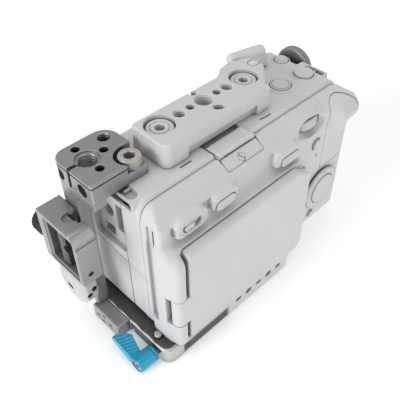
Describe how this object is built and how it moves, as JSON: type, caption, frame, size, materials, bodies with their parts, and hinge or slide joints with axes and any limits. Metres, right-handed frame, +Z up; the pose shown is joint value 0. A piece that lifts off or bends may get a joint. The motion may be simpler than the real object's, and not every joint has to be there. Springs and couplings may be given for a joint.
{
  "type": "cinema camera rig",
  "caption": "Compact cinema camera in a rig: flip-out screen, handle plate, accessory block, cable clamp, base plate with quick-release lever",
  "frame": {"origin": "mouth of the tripod thread in the underside of the base plate", "axes": "+X to the operator's right, +Y towards the lens, +Z up"},
  "size_m": [0.1869, 0.0945, 0.114],
  "materials": {
    "camera_clay": "fine matte texture",
    "camera_trim": "smooth matte",
    "rig_grey": "fine bead-blasted anodising",
    "rig_light": "fine bead-blasted anodising",
    "rig_dark": "dark anodising",
    "knob_black": "satin black",
    "steel": "turned stainless steel",
    "lever_blue": "bright blue anodising",
    "glass_dark": "coated glass",
    "board_green": "solder mask",
    "inner_dark": "matte black"
  },
  "bodies": {
    "camera_rig": {"front_shell": "camera_clay", "rear_shell": "camera_clay", "grip_shell": "camera_clay", "thumb_rest": "camera_clay", "accessory_shoe": "steel", "lens_mount_ring": "steel", "mount_screws": "steel", "sensor_module": "inner_dark", "sensor_glass": "glass_dark", "main_board": "board_green", "heat_sink": "rig_light", "fan_frame": "inner_dark", "battery": "inner_dark", "memory_card": "inner_dark", "socket_block": "inner_dark", "hinge_pin": "steel", "switch_housing": "camera_trim", "wheel_axle": "steel", "strap_lug_bars": "camera_clay", "front_bump": "camera_clay", "top_plate": "camera_clay", "top_plate_screws": "camera_clay", "accessory_block": "rig_grey", "captive_screw": "steel", "side_plate": "rig_grey", "side_screws": "steel", "clamp_frame": "rig_grey", "lower_bracket": "rig_light", "lower_block": "rig_light", "lower_block_screws": "rig_dark", "base_plate": "rig_dark", "camera_plate": "camera_clay", "camera_screw": "steel", "locating_pin": "rig_light", "side_stud": "steel"},
    "lcd": {"lcd_panel": "camera_clay", "lcd_glass": "glass_dark"},
    "fan": {"cooling_fan": "inner_dark"},
    "battery_hatch": {"battery_door": "camera_clay"},
    "card_hatch": {"card_door": "camera_clay"},
    "shoe_slide": {"shoe_cover": "camera_trim"},
    "lens_release": {"lens_release_button": "camera_trim"},
    "switch": {"mode_switch": "camera_trim"},
    "button_a": {"rear_button_a": "camera_trim"},
    "button_b": {"rear_button_b": "camera_trim"},
    "button_c": {"rear_button_c": "camera_trim"},
    "menu": {"menu_button": "camera_trim"},
    "play": {"play_button": "camera_trim"},
    "dial": {"rear_dial": "camera_trim"},
    "dial_press": {"dial_button": "camera_trim"},
    "wheel": {"thumb_wheel": "camera_trim"},
    "record": {"record_button": "camera_trim"},
    "shutter": {"shutter_button": "camera_trim"},
    "top_small": {"small_top_button": "camera_trim"},
    "clamp_turn": {"clamp_knob": "knob_black"},
    "clamp_slide": {"clamp_jaw": "rig_grey"},
    "lever": {"release_lever": "lever_blue", "lever_shaft": "steel"},
    "jaw": {"lock_jaw": "rig_dark"},
    "side_turn": {"side_knob": "rig_grey"}
  },
  "joints": [
    {"name": "lcd_open", "type": "hinge", "parent": "camera_rig", "child": "lcd", "pos_m": [-0.062, -0.0445, 0.045], "axis": [0, 0, -1], "range_deg": [0, 175]},
    {"name": "fan_spin", "type": "hinge", "parent": "camera_rig", "child": "fan", "pos_m": [-0.033, -0.028, 0.047], "axis": [0, 1, 0], "continuous": true},
    {"name": "battery_door_swing", "type": "hinge", "parent": "camera_rig", "child": "battery_hatch", "pos_m": [0.068, 0.041, 0.0094], "axis": [1, 0, 0], "range_deg": [0, 100]},
    {"name": "card_door_swing", "type": "hinge", "parent": "camera_rig", "child": "card_hatch", "pos_m": [0.0876, 0.0099, 0.053], "axis": [0, 0, 1], "range_deg": [0, 105]},
    {"name": "shoe_cover_slide", "type": "slide", "parent": "camera_rig", "child": "shoe_slide", "axis": [0, -1, 0], "range_m": [0, 0.016]},
    {"name": "lens_release_press", "type": "slide", "parent": "camera_rig", "child": "lens_release", "axis": [0, -1, 0], "range_m": [0, 0.0015], "stiffness_N_per_m": 500, "springref_m": -0.0008},
    {"name": "mode_switch_slide", "type": "slide", "parent": "camera_rig", "child": "switch", "axis": [1, 0, 0], "range_m": [0, 0.0036]},
    {"name": "button_a_press", "type": "slide", "parent": "camera_rig", "child": "button_a", "axis": [0, 1, 0], "range_m": [0, 0.0005], "stiffness_N_per_m": 350, "springref_m": -0.0008},
    {"name": "button_b_press", "type": "slide", "parent": "camera_rig", "child": "button_b", "axis": [0, 1, 0], "range_m": [0, 0.0005], "stiffness_N_per_m": 350, "springref_m": -0.0008},
    {"name": "button_c_press", "type": "slide", "parent": "camera_rig", "child": "button_c", "axis": [0, 1, 0], "range_m": [0, 0.0005], "stiffness_N_per_m": 350, "springref_m": -0.0008},
    {"name": "menu_press", "type": "slide", "parent": "camera_rig", "child": "menu", "axis": [0, 1, 0], "range_m": [0, 0.0005], "stiffness_N_per_m": 350, "springref_m": -0.0008},
    {"name": "play_press", "type": "slide", "parent": "camera_rig", "child": "play", "axis": [0, 1, 0], "range_m": [0, 0.0005], "stiffness_N_per_m": 350, "springref_m": -0.0008},
    {"name": "rear_dial_turn", "type": "hinge", "parent": "camera_rig", "child": "dial", "pos_m": [0.063, -0.04, 0.0375], "axis": [0, 1, 0], "continuous": true},
    {"name": "dial_press_in", "type": "slide", "parent": "camera_rig", "child": "dial_press", "axis": [0, 1, 0], "range_m": [0, 0.0005], "stiffness_N_per_m": 350, "springref_m": -0.0008},
    {"name": "thumb_wheel_turn", "type": "hinge", "parent": "camera_rig", "child": "wheel", "pos_m": [0.0475, -0.0252, 0.092], "axis": [0, 0, 1], "continuous": true},
    {"name": "record_press", "type": "slide", "parent": "camera_rig", "child": "record", "axis": [0, 0, -1], "range_m": [0, 0.0008], "stiffness_N_per_m": 350, "springref_m": -0.0008},
    {"name": "shutter_press", "type": "slide", "parent": "camera_rig", "child": "shutter", "axis": [0, 0, -1], "range_m": [0, 0.0012], "stiffness_N_per_m": 350, "springref_m": -0.0008},
    {"name": "top_small_press", "type": "slide", "parent": "camera_rig", "child": "top_small", "axis": [0, 0, -1], "range_m": [0, 0.0008], "stiffness_N_per_m": 350, "springref_m": -0.0008},
    {"name": "clamp_knob_turn", "type": "hinge", "parent": "camera_rig", "child": "clamp_turn", "pos_m": [-0.0865, 0.0243, 0.0705], "axis": [0, -1, 0], "range_deg": [0, 1800]},
    {"name": "clamp_jaw_slide", "type": "slide", "parent": "camera_rig", "child": "clamp_slide", "axis": [0, -1, 0], "range_m": [0, 0.0035]},
    {"name": "release_lever_turn", "type": "hinge", "parent": "camera_rig", "child": "lever", "pos_m": [-0.081, -0.037, 0.0046], "axis": [1, 0, 0], "range_deg": [0, 80]},
    {"name": "lock_jaw_slide", "type": "slide", "parent": "camera_rig", "child": "jaw", "axis": [0, 1, 0], "range_m": [0, 0.0025]},
    {"name": "side_knob_turn", "type": "hinge", "parent": "camera_rig", "child": "side_turn", "pos_m": [0.089, 0.01, 0.0915], "axis": [1, 0, 0], "continuous": true}
  ],
  "couplings": [
    {"joint": "clamp_jaw_slide", "follows": "clamp_knob_turn", "m_per_rad": 0.00011141},
    {"joint": "lock_jaw_slide", "follows": "release_lever_turn", "m_per_rad": 0.00179}
  ]
}
